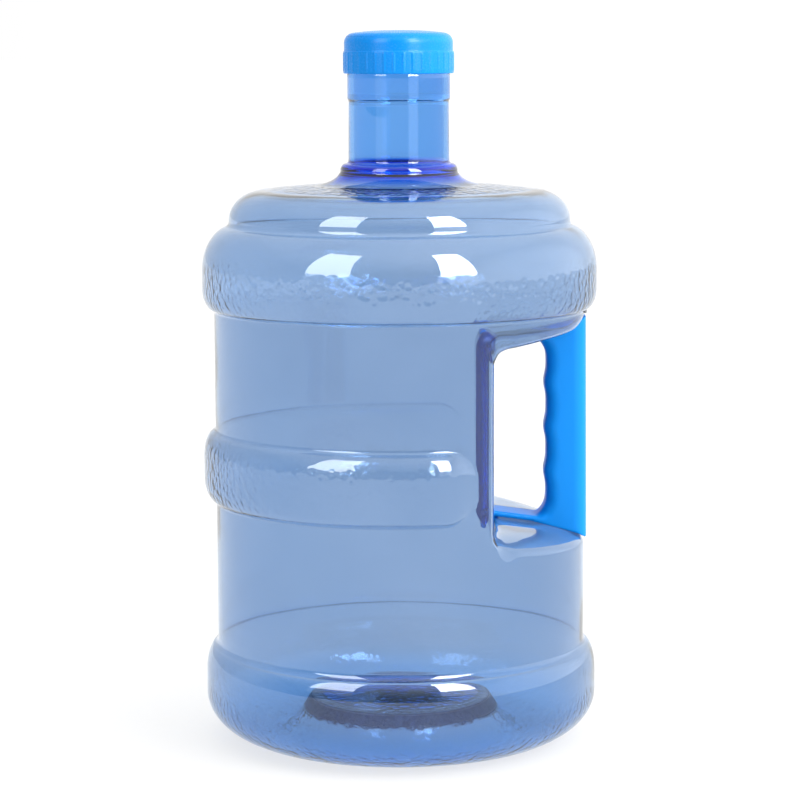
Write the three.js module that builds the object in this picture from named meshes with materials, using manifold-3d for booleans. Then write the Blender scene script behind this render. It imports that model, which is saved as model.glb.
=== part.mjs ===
// A nine-litre drinking-water jug, in millimetres, +Z up, standing on Z = 0 with its axis on the Z axis.
// The handle is on +X. Four pieces: a blown clear bottle, the moulded handle that the bottle is blown
// around, a screw cap, and the sealing ring that the cap presses on the rim of the neck.

import * as THREE from "three";
import { mergeVertices } from "three/addons/utils/BufferGeometryUtils.js";
import Module from "manifold-3d";

const wasm = await Module();
wasm.setup();

// ---------------------------------------------------------------- driving dimensions

const gap = 0.3; // between pieces that touch
const turnSides = 44; // flat sides of a full turn
const outsideSteps = 3; // flat steps in a bend of the bottle's outside, and of its inside
const insideSteps = 2;

// Bottle body
const bodyRadius = 101.7;
const ringRise = 6.5; // how far the three rings stand proud of the body
const bodyWall = 1.0;
const ringRadius = bodyRadius + ringRise;

// Foot, and the recess under it
const footReach = 34.5; // half-axes of the rounding between the low ring and the flat foot
const footRise = 25.7;
const footRadius = ringRadius - footReach; // outer edge of the flat ring that the jug stands on
const footWidth = 4.5;
const recessReach = 21.0; // from the foot's outer edge in to where the recess turns steep
const recessRadius = footRadius - recessReach;
const recessStart = 14.6; // height of that turn
const recessWallReach = 3.9;
const plateauRadius = recessRadius - recessWallReach;
const plateauHeight = 21.2;
const plateauCrown = 1.8;
const plateauWall = 3.6; // thick in the middle, where the blown material hardly stretches

// Rings: heights where each meets the body, and how tall its rounded shoulders are
const lowRing = { top: 53.0, topRound: 15.0 };
const midRing = { bottom: 132.8, top: 171.3, bottomRound: 12.5, topRound: 13.5 };
const topRing = { bottom: 237.7, bottomRound: 11.5 };
const midRingFade = { margin: 4, length: 12 }; // degrees past the hand recess where the mid ring fades out

// Shoulder
const shoulderStep = 14.8; // how far the shoulder stands back from the top ring
const shoulderRadius = ringRadius - shoulderStep;
const shoulderBottom = 283.7; // where the shoulder rises from the top ring
const crownReach = 18.1; // half-axes of the top ring's rounded upper side, which the shoulder cuts into
const crownRise = 24.3;
const shoulderLand = 2.5; // short upright stretch of the shoulder
const shoulderReach = 19;
const shoulderRise = 16.4;
const shoulderTop = shoulderBottom + shoulderLand + shoulderRise;
const shoulderPitch = 2.2; // how far the shoulder's top climbs before the neck's flare

// Neck
const neckRadius = 27.5;
const neckWall = 2.9;
const beadRise = 4.5; // how far the rounded bead at the neck's foot stands proud
const beadRadius = neckRadius + beadRise;
const beadHeight = 6.2;
const flareReach = 18; // from the bead out to where the shoulder's top begins to sweep up
const flareBend = 4; // how far outside the bead the sweep bends
const flareRise = 9.2; // from the shoulder's rounded edge up to the bead
const beadBottom = shoulderTop + flareRise;
const neckLength = 71.6; // from the bead's lower edge to the rim
const rimHeight = beadBottom + neckLength;
const rimBevel = 0.5;
const collarRise = 0.5;
const collarRadius = neckRadius + collarRise; // the wider stretch of neck just below the cap
const collarHeight = 14.9;
const capReach = 17.9; // how far the cap comes down over the neck from the rim
const capBottom = rimHeight - capReach;
const collarTop = capBottom + 0.4;
const collarBottom = collarTop - collarHeight;
const neckStep = 0.8; // height of the bevel at each end of the collar
const boreRadius = neckRadius - neckWall;

// Screw thread, right-handed
const threadPitch = 6.0;
const threadDepth = 1.4;
const threadFoot = 2.6; // width of a ridge at its foot
const threadCrest = 1.3; // width of a ridge at its crest
const threadPlay = 0.4; // radial room between a ridge and the wall it faces
const neckThreadTurns = 1.5;
const capThreadTurns = 1.25;
const capThreadAngle = 0.3; // share of a turn by which the cap's ridge starts later
const threadClear = 3.9; // from the collar's bevel up to the middle of the ridge's lower end
const neckThreadStart = collarTop + neckStep + threadClear;
const threadRoot = collarRadius - threadDepth; // neck radius between the ridges

// Hand recess in the +X side
const recessWallX = 49.5;
const recessFloor = 123.0; // height of the floor at the recess's inner wall
const recessCeiling = 221.2;
const recessSlope = 7.6; // degrees that floor and ceiling open outwards
const recessCorner = 6.5; // radius of the inner corners
const flareStart = 17; // from the body's surface in, along X, to where floor and ceiling bend open
const ceilingFlare = 5.6; // how much further they have opened at the body's surface
const floorFlare = 5.0;
const lipReach = 24; // width of the rounding along the edge that the recess makes in the body's side
const ceilingLip = 1.6; // how much that rounding opens the recess
const floorLip = 4.8;
const lipOverlap = 0.8; // how far inside floor and ceiling the rounding starts

// Handle
const gripProud = 0.8; // how far its back stands proud of the body
const gripOuterX = bodyRadius + gripProud;
const gripLean = 0.6; // how far its back leans out below its middle, and in above it
const gripDepth = 22;
const gripInnerX = gripOuterX - gripDepth;
const gripWidth = 24;
const gripRound = 6.5;
const fingerDepth = 1.3;
const fingerPitch = 22.9;
const fingerRidges = 3;
const gripEndFlare = 6; // how much deeper the grip grows where it meets the arms
const armThickness = 3.2;
const armWidth = 22;
const railThickness = 3.9;
const railOverrun = 5.0; // how far the rail runs past floor and ceiling into the wall
const railEndRadius = 2.5;
const rootRoom = 0.6; // extra height of the wall's notch over an arm's root, so that no thin bar is left there

// Cap
const capWall = 1.2;
const capBoreRadius = collarRadius + threadPlay;
const capRadius = capBoreRadius + capWall;
const capCrown = 1.4; // how much the top is domed
const capRound = 5.5; // rounding of the top's edge
const capTopWall = 1.8;
const capBandRise = 0.35; // how far the ribbed band stands proud
const capBandHeight = 11.9;
const capBandTop = capBottom + capBandHeight;
const ribCount = 36;
const ribRise = 0.3;
const ribWidth = 0.9;
const plugWall = 1.6; // the lip that enters the neck
const plugDepth = 4.0;
const plugPlay = 0.6;

// Sealing ring
const sealThickness = 1.6;
const sealBottom = rimHeight + gap;
const capCeiling = sealBottom + sealThickness + gap;
const capTop = capCeiling + capTopWall;

// ---------------------------------------------------------------- small helpers

const radians = THREE.MathUtils.degToRad;
const smooth = (t) => THREE.MathUtils.smoothstep(t, 0, 1);

/** A closed geometry as a manifold-3d solid. */
function solidOf(geometry) {
  const bare = geometry.index ? geometry.toNonIndexed() : geometry.clone();
  bare.deleteAttribute("normal");
  bare.deleteAttribute("uv");
  const merged = mergeVertices(bare, 1e-4);
  const corners = merged.index.array;
  const kept = [];
  for (let i = 0; i < corners.length; i += 3) {
    const [a, b, c] = [corners[i], corners[i + 1], corners[i + 2]];
    if (a !== b && b !== c && c !== a) kept.push(a, b, c);
  }
  return new wasm.Manifold(
    new wasm.Mesh({
      numProp: 3,
      vertProperties: merged.attributes.position.array,
      triVerts: new Uint32Array(kept),
    }),
  );
}

/** A manifold-3d solid as a named mesh. */
function meshOf(solid, name, material) {
  const { vertProperties, triVerts } = solid.getMesh();
  const geometry = new THREE.BufferGeometry();
  geometry.setAttribute("position", new THREE.BufferAttribute(vertProperties, 3));
  geometry.setIndex(new THREE.BufferAttribute(triVerts, 1));
  geometry.computeVertexNormals();
  const mesh = new THREE.Mesh(geometry, material);
  mesh.name = name;
  return mesh;
}

/** Moves every vertex of a geometry: place(x, y, z) gives its new position. */
function moveVertices(geometry, place) {
  const at = geometry.attributes.position;
  for (let i = 0; i < at.count; i++) {
    at.setXYZ(i, ...place(at.getX(i), at.getY(i), at.getZ(i)));
  }
  return geometry;
}

/** An outline of (radius, height) points turned round Z. It starts and ends on the axis, or closes. */
function turned(points, sides = turnSides) {
  return new THREE.LatheGeometry(points, sides).rotateX(Math.PI / 2);
}

/** An outline in X and Z, pushed out to width along Y and centred on Y = 0. */
function slab(shape, width, bevel = 0, curveSegments = 6) {
  const options = {
    depth: width - 2 * bevel,
    steps: 1,
    curveSegments,
    bevelEnabled: bevel > 0,
    bevelThickness: bevel,
    bevelSize: bevel,
    bevelOffset: -bevel,
    bevelSegments: 3,
  };
  const geometry = new THREE.ExtrudeGeometry(shape, options);
  return geometry.translate(0, 0, bevel - width / 2).rotateX(Math.PI / 2);
}

// ---------------------------------------------------------------- hand recess

/** How far floor and ceiling have opened at x, on top of extra. */
function recessOpening(x, extra) {
  return (x - recessWallX) * Math.tan(radians(recessSlope)) + extra;
}

/** The hand recess's outline in X and Z, grown all round by extra. */
function recessOutline(extra) {
  const innerX = recessWallX - extra;
  const corner = recessCorner + extra;
  const cornerX = innerX + corner;
  const startX = bodyRadius - flareStart;
  const bendX = bodyRadius - flareStart / 3;
  const endX = bodyRadius + 1;
  const farX = ringRadius + 20;
  const ceilingAt = (x) => recessCeiling + recessOpening(x, extra);
  const floorAt = (x) => recessFloor - recessOpening(x, extra);
  const ceilingEnd = ceilingAt(endX) + ceilingFlare;
  const floorEnd = floorAt(endX) - floorFlare;
  const shape = new THREE.Shape();
  shape.moveTo(farX, floorEnd);
  shape.lineTo(farX, ceilingEnd);
  shape.lineTo(endX, ceilingEnd);
  shape.quadraticCurveTo(bendX, ceilingAt(bendX), startX, ceilingAt(startX));
  shape.lineTo(cornerX, ceilingAt(cornerX));
  shape.quadraticCurveTo(innerX, ceilingAt(innerX), innerX, ceilingAt(innerX) - corner);
  shape.lineTo(innerX, floorAt(innerX) + corner);
  shape.quadraticCurveTo(innerX, floorAt(innerX), cornerX, floorAt(cornerX));
  shape.lineTo(startX, floorAt(startX));
  shape.quadraticCurveTo(bendX, floorAt(bendX), endX, floorEnd);
  shape.closePath();
  return shape;
}

/** The recess with the rounded lip along the edge that it makes in the body's side, grown by extra. */
function recessSolid(extra, width) {
  const hand = solidOf(slab(recessOutline(extra), width));
  const path = new THREE.Path();
  const start = bodyRadius - lipReach - extra;
  const end = bodyRadius + 1;
  const bend = bodyRadius - (2 * lipReach) / 3;
  const far = ringRadius + 25;
  path.moveTo(start, recessCeiling - lipOverlap);
  path.lineTo(start, recessFloor + lipOverlap);
  path.quadraticCurveTo(bend, recessFloor + lipOverlap, end, recessFloor - floorLip);
  path.lineTo(far, recessFloor - floorLip);
  path.lineTo(far, recessCeiling + ceilingLip);
  path.lineTo(end, recessCeiling + ceilingLip);
  path.quadraticCurveTo(bend, recessCeiling - lipOverlap, start, recessCeiling - lipOverlap);
  const middle = (recessFloor + recessCeiling) / 2;
  const lip = moveVertices(turned(path.getPoints(outsideSteps)), (x, y, z) => {
    return [x, y, z + Math.sign(z - middle) * recessOpening(x, extra)];
  });
  const keep = new THREE.BoxGeometry(far, 2 * far, 2 * recessCeiling);
  keep.translate(recessWallX - extra + far / 2, 0, recessCeiling);
  return hand.add(solidOf(lip).intersect(solidOf(keep)));
}

/** The rail's outline in X and Z, grown all round by extra: an upright bar with knobbed ends. */
function railOutline(extra) {
  const half = railThickness / 2 + extra;
  const knob = railEndRadius + extra;
  const x = recessWallX - railThickness / 2;
  const bottom = recessFloor - railOverrun;
  const top = recessCeiling + railOverrun - railEndRadius;
  const lean = Math.asin(half / knob);
  const shape = new THREE.Shape();
  shape.absarc(x, top, knob, lean - Math.PI / 2, 1.5 * Math.PI - lean, false);
  shape.absarc(x, bottom, knob, lean + Math.PI / 2, 2.5 * Math.PI - lean, false);
  shape.closePath();
  return shape;
}

/** The handle's rail and the straight ends of its two arms, grown all round by extra. */
function frameRoot(extra) {
  const width = armWidth + 2 * extra;
  const room = extra > 0 ? rootRoom : 0;
  const startX = recessWallX - railThickness / 2;
  const endX = recessWallX + recessCorner + 3;
  const armEnd = (level, way) => {
    const near = (x) => level + way * (recessOpening(x, 0) - gap + extra);
    const far = (x) => level + way * (recessOpening(x, 0) - gap - armThickness - extra - room);
    const corners = [
      new THREE.Vector2(startX, near(startX)),
      new THREE.Vector2(endX, near(endX)),
      new THREE.Vector2(endX, far(endX)),
      new THREE.Vector2(startX, far(startX)),
    ];
    return solidOf(slab(new THREE.Shape(corners), width));
  };
  const rail = solidOf(slab(railOutline(extra), width));
  return rail.add(armEnd(recessFloor, -1)).add(armEnd(recessCeiling, 1));
}

/** Everything that is cut out of the bottle's +X side, grown by extra. */
function sideCut(extra) {
  return recessSolid(extra, 2 * ringRadius + 20).add(frameRoot(gap + extra));
}

// ---------------------------------------------------------------- screw thread

/** A helical ridge: a straight bar wrapped round Z. It stands out from radius by depth, inwards if negative. */
function threadRidge(radius, depth, start, turns, firstAngle = 0) {
  const sink = -0.3 * Math.sign(depth); // the foot reaches a little into the wall
  const foot = threadFoot / 2;
  const crest = threadCrest / 2;
  const section = new THREE.Shape([
    new THREE.Vector2(sink, -foot),
    new THREE.Vector2(depth, -crest),
    new THREE.Vector2(depth, crest),
    new THREE.Vector2(sink, foot),
  ]);
  const steps = Math.round(turns * turnSides);
  const bar = new THREE.ExtrudeGeometry(section, { depth: turns, steps, bevelEnabled: false });
  const runOut = 0.12; // share of a turn over which each end tapers away
  const wrapped = moveVertices(bar, (out, up, along) => {
    const taper = Math.min(1, 0.25 + 0.75 * smooth(Math.min(along, turns - along) / runOut));
    const angle = 2 * Math.PI * (along + firstAngle);
    const r = radius + (out * depth > 0 ? out * taper : out);
    const height = start + up * taper + threadPitch * (along + firstAngle);
    return [r * Math.cos(angle), r * Math.sin(angle), height];
  });
  return solidOf(flipped(wrapped)); // wrapping a bar this way turns its faces inside out
}

/** The same geometry with every face turned round. */
function flipped(geometry) {
  const turnedRound = geometry.index ? geometry.toNonIndexed() : geometry.clone();
  const at = turnedRound.attributes.position;
  for (let i = 0; i < at.count; i += 3) {
    const b = [at.getX(i + 1), at.getY(i + 1), at.getZ(i + 1)];
    at.setXYZ(i + 1, at.getX(i + 2), at.getY(i + 2), at.getZ(i + 2));
    at.setXYZ(i + 2, ...b);
  }
  return turnedRound;
}

// ---------------------------------------------------------------- bottle

/** The bottle's outside from the middle of the base up to the foot of the neck, as (radius, height). */
function bodyOutline(steps) {
  const path = new THREE.Path();
  path.moveTo(0, plateauHeight + plateauCrown);
  path.quadraticCurveTo(plateauRadius / 2, plateauHeight + plateauCrown, plateauRadius, plateauHeight);
  path.lineTo(recessRadius, recessStart);
  path.quadraticCurveTo((recessRadius + footRadius) / 2, 0, footRadius - footWidth, 0);
  path.lineTo(footRadius, 0);
  path.absellipse(footRadius, footRise, ringRadius - footRadius, footRise, -Math.PI / 2, 0, false);
  const ringTop = (top, round, foot) =>
    path.absellipse(foot, top - round, ringRadius - foot, round, 0, Math.PI / 2, false);
  const ringBottom = (bottom, round) =>
    path.absellipse(bodyRadius, bottom + round, ringRise, round, -Math.PI / 2, 0, false);
  ringTop(lowRing.top, lowRing.topRound, bodyRadius);
  ringBottom(midRing.bottom, midRing.bottomRound);
  ringTop(midRing.top, midRing.topRound, bodyRadius);
  ringBottom(topRing.bottom, topRing.bottomRound);
  const crownX = ringRadius - crownReach;
  const crownEnd = Math.acos((shoulderRadius - crownX) / crownReach);
  const crownZ = shoulderBottom - crownRise * Math.sin(crownEnd);
  path.absellipse(crownX, crownZ, crownReach, crownRise, 0, crownEnd, false);
  const landTop = shoulderBottom + shoulderLand;
  path.absellipse(
    shoulderRadius - shoulderReach,
    landTop,
    shoulderReach,
    shoulderRise,
    0,
    Math.PI / 2,
    false,
  );
  const pitchTop = shoulderTop + shoulderPitch;
  path.lineTo(beadRadius + flareReach, pitchTop);
  path.quadraticCurveTo(beadRadius + flareBend, pitchTop + neckStep, beadRadius + neckStep, beadBottom);
  return path.getPoints(steps);
}

/** The outside of the neck, from the bead up to the rim. */
function neckOutline() {
  const path = new THREE.Path();
  path.moveTo(beadRadius, beadBottom + neckStep);
  path.absellipse(
    neckRadius,
    beadBottom + neckStep,
    beadRadius - neckRadius,
    beadHeight - neckStep,
    0,
    Math.PI / 2,
    false,
  );
  path.lineTo(neckRadius, collarBottom);
  path.lineTo(collarRadius, collarBottom + neckStep);
  path.lineTo(collarRadius, collarTop);
  path.lineTo(threadRoot, collarTop + neckStep);
  path.lineTo(threadRoot, rimHeight - rimBevel);
  path.lineTo(threadRoot - rimBevel, rimHeight);
  return path.getPoints(outsideSteps);
}

/** Points moved to the left of their way by depth(point): the outside of the wall becomes its inside. */
function inset(points, depth) {
  return points.map((point, i) => {
    const before = points[Math.max(i - 1, 0)];
    const after = points[Math.min(i + 1, points.length - 1)];
    const way = after.clone().sub(before).normalize();
    const left = new THREE.Vector2(-way.y, way.x);
    const moved = point.clone().addScaledVector(left, depth(point));
    if (point.x === 0) moved.x = 0;
    return moved;
  });
}

/** How thick the wall is at an outline point: thick under the base's middle and towards the neck. */
function wallAt(point) {
  const middle = point.y < recessStart + 20 ? 1 - smooth(point.x / plateauRadius) : 0;
  const shoulder = point.y > shoulderBottom + shoulderLand ? 1 - smooth(point.x / shoulderRadius) : 0;
  return bodyWall + (plateauWall - bodyWall) * middle + (neckWall - bodyWall) * shoulder;
}

/** Lets the mid ring fade into the body on both sides of the hand recess. */
function fadeMidRing(geometry, radius) {
  const recessHalf = THREE.MathUtils.radToDeg(Math.acos(recessWallX / bodyRadius));
  const start = recessHalf + midRingFade.margin;
  return moveVertices(geometry, (x, y, z) => {
    const r = Math.hypot(x, y);
    if (z < midRing.bottom - bodyWall || z > midRing.top + bodyWall || r <= radius) return [x, y, z];
    const away = Math.abs(THREE.MathUtils.radToDeg(Math.atan2(y, x)));
    const share = smooth((away - start) / midRingFade.length);
    const k = (radius + (r - radius) * share) / r;
    return [x * k, y * k, z];
  });
}

function makeBottle(material) {
  const outside = [...bodyOutline(outsideSteps), ...neckOutline(), new THREE.Vector2(0, rimHeight)];
  const lining = inset(bodyOutline(insideSteps), wallAt);
  const throat = lining[lining.length - 1].y + 2;
  const inside = [
    ...lining,
    new THREE.Vector2(boreRadius, throat),
    new THREE.Vector2(boreRadius, rimHeight + 1),
    new THREE.Vector2(0, rimHeight + 1),
  ];
  const shell = solidOf(fadeMidRing(turned(outside), bodyRadius)).subtract(sideCut(0));
  const hollow = solidOf(fadeMidRing(turned(inside), bodyRadius - bodyWall)).subtract(sideCut(bodyWall));
  const ridge = threadRidge(threadRoot, threadDepth, neckThreadStart, neckThreadTurns);
  return meshOf(shell.add(ridge).subtract(hollow), "bottle", material);
}

// ---------------------------------------------------------------- handle

/** The grip's outline in X and Z: an upright bar with finger hollows that meets the recess at both ends. */
function gripBar() {
  const bottom = recessFloor - 30;
  const top = recessCeiling + 30;
  const middle = (recessFloor + recessCeiling) / 2;
  const fingers = [];
  const steps = 40;
  const reach = ((fingerRidges + 1) * fingerPitch) / 2;
  for (let i = 0; i <= steps; i++) {
    const z = middle + reach * (1 - (2 * i) / steps);
    const wave = Math.cos((2 * Math.PI * (z - middle)) / fingerPitch);
    const ridge = Math.pow((1 + wave) / 2, 2);
    const ends = gripEndFlare * Math.pow(Math.abs(z - middle) / reach, 16);
    fingers.push(new THREE.Vector2(gripInnerX - fingerDepth * ridge - ends, z));
  }
  const shape = new THREE.Shape([
    new THREE.Vector2(gripOuterX + gripLean, bottom),
    new THREE.Vector2(gripOuterX - gripLean, top),
    new THREE.Vector2(fingers[0].x, top),
    ...fingers,
    new THREE.Vector2(fingers[steps].x, bottom),
  ]);
  return solidOf(slab(shape, gripWidth, gripRound));
}

/** The thin frame behind the grip: two arms against floor and ceiling, and the rail between them. */
function handleFrame() {
  const room = solidOf(slab(recessOutline(-gap), armWidth));
  const hand = solidOf(slab(recessOutline(-gap - armThickness), armWidth + 10));
  const startX = recessWallX + recessCorner;
  const length = gripOuterX - gripRound - startX;
  const reach = new THREE.BoxGeometry(length, armWidth + 10, 2 * recessCeiling);
  const arms = room.subtract(hand).intersect(solidOf(reach.translate(startX + length / 2, 0, recessCeiling)));
  return arms.add(frameRoot(0));
}

function makeHandle(material) {
  const room = recessSolid(-gap, gripWidth + 10);
  return meshOf(gripBar().intersect(room).add(handleFrame()), "handle", material);
}

// ---------------------------------------------------------------- cap and sealing ring

function makeCap(material) {
  const path = new THREE.Path();
  path.moveTo(capBoreRadius, capBottom);
  path.lineTo(capRadius + capBandRise, capBottom);
  path.lineTo(capRadius + capBandRise, capBandTop);
  path.lineTo(capRadius, capBandTop + capBandRise);
  path.absellipse(
    capRadius - capRound,
    capTop - capRound,
    capRound,
    capRound,
    0,
    Math.PI / 2 - 0.1,
    false,
  );
  path.quadraticCurveTo(capRadius / 2, capTop + capCrown, 0, capTop + capCrown);
  path.lineTo(0, capCeiling);
  const plugOuter = boreRadius - plugPlay;
  const plugBottom = rimHeight - plugDepth;
  path.lineTo(plugOuter - plugWall, capCeiling);
  path.lineTo(plugOuter - plugWall, plugBottom);
  path.lineTo(plugOuter, plugBottom);
  path.lineTo(plugOuter, capCeiling);
  path.lineTo(capBoreRadius, capCeiling);
  path.lineTo(capBoreRadius, capBottom);
  let cap = solidOf(turned(path.getPoints(4)));
  const ribHeight = capBandTop - capBottom;
  for (let i = 0; i < ribCount; i++) {
    const rib = new THREE.BoxGeometry(ribRise + 0.6, ribWidth, ribHeight - 0.4);
    rib.translate(capRadius + capBandRise + (ribRise - 0.6) / 2, 0, capBottom + ribHeight / 2);
    cap = cap.add(solidOf(rib.rotateZ((2 * Math.PI * (i + 0.5)) / ribCount)));
  }
  const start = neckThreadStart - threadPitch / 2;
  const ridge = threadRidge(capBoreRadius, -threadDepth, start, capThreadTurns, capThreadAngle);
  return meshOf(cap.add(ridge), "screw_cap", material);
}

function makeSeal(material) {
  const inner = boreRadius - plugPlay + gap;
  const outer = capBoreRadius - gap;
  const outline = [
    new THREE.Vector2(inner, sealBottom),
    new THREE.Vector2(outer, sealBottom),
    new THREE.Vector2(outer, sealBottom + sealThickness),
    new THREE.Vector2(inner, sealBottom + sealThickness),
    new THREE.Vector2(inner, sealBottom),
  ];
  return meshOf(solidOf(turned(outline)), "cap_seal", material);
}

// ---------------------------------------------------------------- assembly

const clearBlue = new THREE.MeshStandardMaterial({
  color: 0x7fb0ea,
  roughness: 0.06,
  metalness: 0,
  transparent: true,
  opacity: 0.4,
});
const brightBlue = new THREE.MeshStandardMaterial({ color: 0x1492f5, roughness: 0.32, metalness: 0 });
const capBlue = new THREE.MeshStandardMaterial({ color: 0x1890f2, roughness: 0.28, metalness: 0 });
const sealWhite = new THREE.MeshStandardMaterial({ color: 0xe9edf2, roughness: 0.6, metalness: 0 });

const jug = new THREE.Group();
jug.add(makeBottle(clearBlue), makeHandle(brightBlue));

const closure = new THREE.Group();
closure.add(makeCap(capBlue), makeSeal(sealWhite));
jug.add(closure);

export default jug;
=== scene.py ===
"""The large water jug around its CAD frame: a clear-blue blown bottle, its handle, screw cap and seal."""

import math

import bmesh
import bpy
import numpy as np
from mathutils import Matrix, Vector


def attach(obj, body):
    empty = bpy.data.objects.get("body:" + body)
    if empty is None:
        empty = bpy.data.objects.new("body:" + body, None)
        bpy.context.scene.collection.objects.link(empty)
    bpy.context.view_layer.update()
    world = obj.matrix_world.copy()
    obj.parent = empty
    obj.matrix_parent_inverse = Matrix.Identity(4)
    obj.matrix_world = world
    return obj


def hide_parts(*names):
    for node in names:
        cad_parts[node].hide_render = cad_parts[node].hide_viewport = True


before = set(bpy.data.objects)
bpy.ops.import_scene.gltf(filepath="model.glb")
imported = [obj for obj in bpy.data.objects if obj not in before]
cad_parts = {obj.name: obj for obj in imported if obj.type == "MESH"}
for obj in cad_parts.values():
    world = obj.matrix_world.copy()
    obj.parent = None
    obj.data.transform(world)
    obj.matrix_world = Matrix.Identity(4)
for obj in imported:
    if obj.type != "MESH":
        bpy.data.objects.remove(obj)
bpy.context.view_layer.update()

MM = 0.001

# ---------------------------------------------------------------- sizes, in millimetres
# They are the CAD model's, apart from the rail's, and the softness and unevenness that only this model has.

BODY_R = 101.7
RING_RISE = 6.5
RING_R = BODY_R + RING_RISE
BODY_WALL = 1.0

FOOT_RISE = 25.7
FOOT_R = 73.7
FOOT_WIDTH = 4.5
RECESS_R, RECESS_Z = 52.7, 14.6  # where the hollow under the base turns steep
PLATEAU_R, PLATEAU_Z, PLATEAU_CROWN = 48.8, 21.2, 1.8
PLATEAU_WALL = 3.6
AXIS_HOLE = 0.02  # radius of the hole round the axis, closed afterwards

LOW_RING_TOP, LOW_RING_ROUND = 53.0, 15.0
MID_RING = (132.8, 171.3)
MID_ROUNDS = (12.5, 13.5)
TOP_RING_BOTTOM, TOP_RING_ROUND = 237.7, 11.5
CROWN = (18.1, 24.3)  # half-axes of the top ring's rounded upper side

SHOULDER_R = RING_R - 14.8
SHOULDER_BOTTOM = 283.7
SHOULDER_LAND = 2.5
SHOULDER_ROUND = (19.0, 16.4)
SHOULDER_TOP = SHOULDER_BOTTOM + SHOULDER_LAND + SHOULDER_ROUND[1]

NECK_R = 27.5
NECK_WALL = 2.9
BORE_R = NECK_R - NECK_WALL
BEAD_R = NECK_R + 4.5
BEAD_BOTTOM = SHOULDER_TOP + 9.2
BEAD_HEIGHT = 6.2
RIM = BEAD_BOTTOM + 71.6
COLLAR_R = NECK_R + 0.5
CAP_BOTTOM = RIM - 17.9
COLLAR_TOP = CAP_BOTTOM + 0.4
COLLAR_BOTTOM = COLLAR_TOP - 14.9
BEVEL = 0.8

PITCH = 6.0
THREAD_DEPTH = 1.4
THREAD_FOOT, THREAD_CREST = 2.6, 1.3
THREAD_ROOT = COLLAR_R - THREAD_DEPTH
NECK_THREAD_START = COLLAR_TOP + BEVEL + 3.9
NECK_THREAD_TURNS, CAP_THREAD_TURNS, CAP_THREAD_PHASE = 1.5, 1.25, 0.3

WALL_X = 49.5  # inner wall of the hand recess
FLOOR_Z, CEILING_Z = 123.0, 221.2
# heights between which the rows of vertices lead along the recess's floor and ceiling
FLOOR_ROWS, CEILING_ROWS = (104.0, 131.2), (236.0, 213.4)
BODY_LINE_TOP = 100.5
SLOPE = math.tan(math.radians(7.6))
FLARE_REACH = 17.0
CEILING_FLARE, FLOOR_FLARE = 5.6, 5.0
LIP_REACH = 24.0
CEILING_LIP, FLOOR_LIP = 1.6, 4.8
CORNER = 6.5
EDGE_SOFT = 7.0  # how softly the inner wall turns into the body's side
EDGE_PASSES, EDGE_PULL = 26, 0.8  # smoothing of that turn
EDGE_ANGLES, EDGE_HEIGHTS = (52, 67), (106, 238)  # where it is smoothed, in degrees and millimetres
RECESS_FAR = 400  # stands for the inner wall's distance where there is no recess
GAP = 0.3

GRIP_OUT, GRIP_DEPTH, GRIP_WIDTH = BODY_R + 0.8, 22.0, 24.0
GRIP_LEAN = 0.6
FINGER_PITCH, FINGER_DEPTH, FINGER_RIDGES = 22.9, 1.3, 3
GRIP_END_FLARE = 6.0
ARM_THICK, ARM_WIDTH = 3.2, 22.0
RAIL_THICK, RAIL_WIDTH, RAIL_OVERRUN, RAIL_KNOB = 3.0, 17.0, 5.0, 2.3
RAIL_SINK = 1.8  # clear plastic between the recess and the rail behind it
RAIL_WALL = 6.8  # extra thickness of the bottle's wall round the rail
FUSE_VOXEL, FUSE_SMOOTHING, FUSE_PASSES = 0.75, 0.5, 5

CAP_BORE = COLLAR_R + 0.4
CAP_R = CAP_BORE + 1.2
CAP_BAND = 0.35
CAP_BAND_TOP = CAP_BOTTOM + 11.9
CAP_TOP_WALL, CAP_CROWN, CAP_ROUND = 1.8, 1.4, 5.5
SEAL_THICK = 1.6
SEAL_BOTTOM = RIM + GAP
CAP_CEILING = SEAL_BOTTOM + SEAL_THICK + GAP
CAP_TOP = CAP_CEILING + CAP_TOP_WALL
PLUG_R, PLUG_WALL, PLUG_DEPTH = BORE_R - 0.6, 1.6, 4.0
RIBS, RIB_RISE = 36, 0.3
TURN_COLUMNS = 432  # vertices round the cap

WAVES = ((9, 0.045, 0.6, 0.05), (5, -0.021, 1.9, 0.08), (23, 0.11, 2.2, 0.02))
WALL_WAVE = 0.06  # unevenness of the wall's thickness
WAVE_SHIFT = 0.15  # keeps every wave of the blown wall inside the CAD model's surface

# ---------------------------------------------------------------- mesh helpers


def smooth(t):
    """0 to 1 with a soft start and end."""
    t = np.clip(t, 0, 1)
    return t * t * (3 - 2 * t)


def quad_curve(p0, p1, p2, n):
    """n points after p0 along a quadratic curve."""
    t = np.linspace(0, 1, n + 1)[1:, None]
    p0, p1, p2 = map(np.asarray, (p0, p1, p2))
    return (1 - t) ** 2 * p0 + 2 * t * (1 - t) * p1 + t * t * p2


def arc(centre, half, start, end, n):
    """n + 1 points of an ellipse's arc, angles in degrees."""
    a = np.radians(np.linspace(start, end, n + 1))
    return np.stack([centre[0] + half[0] * np.cos(a), centre[1] + half[1] * np.sin(a)], 1)


def line(p0, p1, n):
    """n points after p0 along a straight line."""
    t = np.linspace(0, 1, n + 1)[1:, None]
    return np.asarray(p0) * (1 - t) + np.asarray(p1) * t


def rounded(profile, radius, n=3):
    """A profile with its corners cut back by radius and rounded by short curves."""
    p = np.asarray(profile, float)
    out = [p[:1]]
    for a, b, c in zip(p[:-2], p[1:-1], p[2:]):
        cut = min(radius, 0.45 * np.linalg.norm(b - a), 0.45 * np.linalg.norm(c - b))
        start = b + (a - b) / np.linalg.norm(a - b) * cut
        end = b + (c - b) / np.linalg.norm(c - b) * cut
        out += [start[None], quad_curve(start, b, end, n)]
    out.append(p[-1:])
    return np.concatenate(out)


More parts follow.
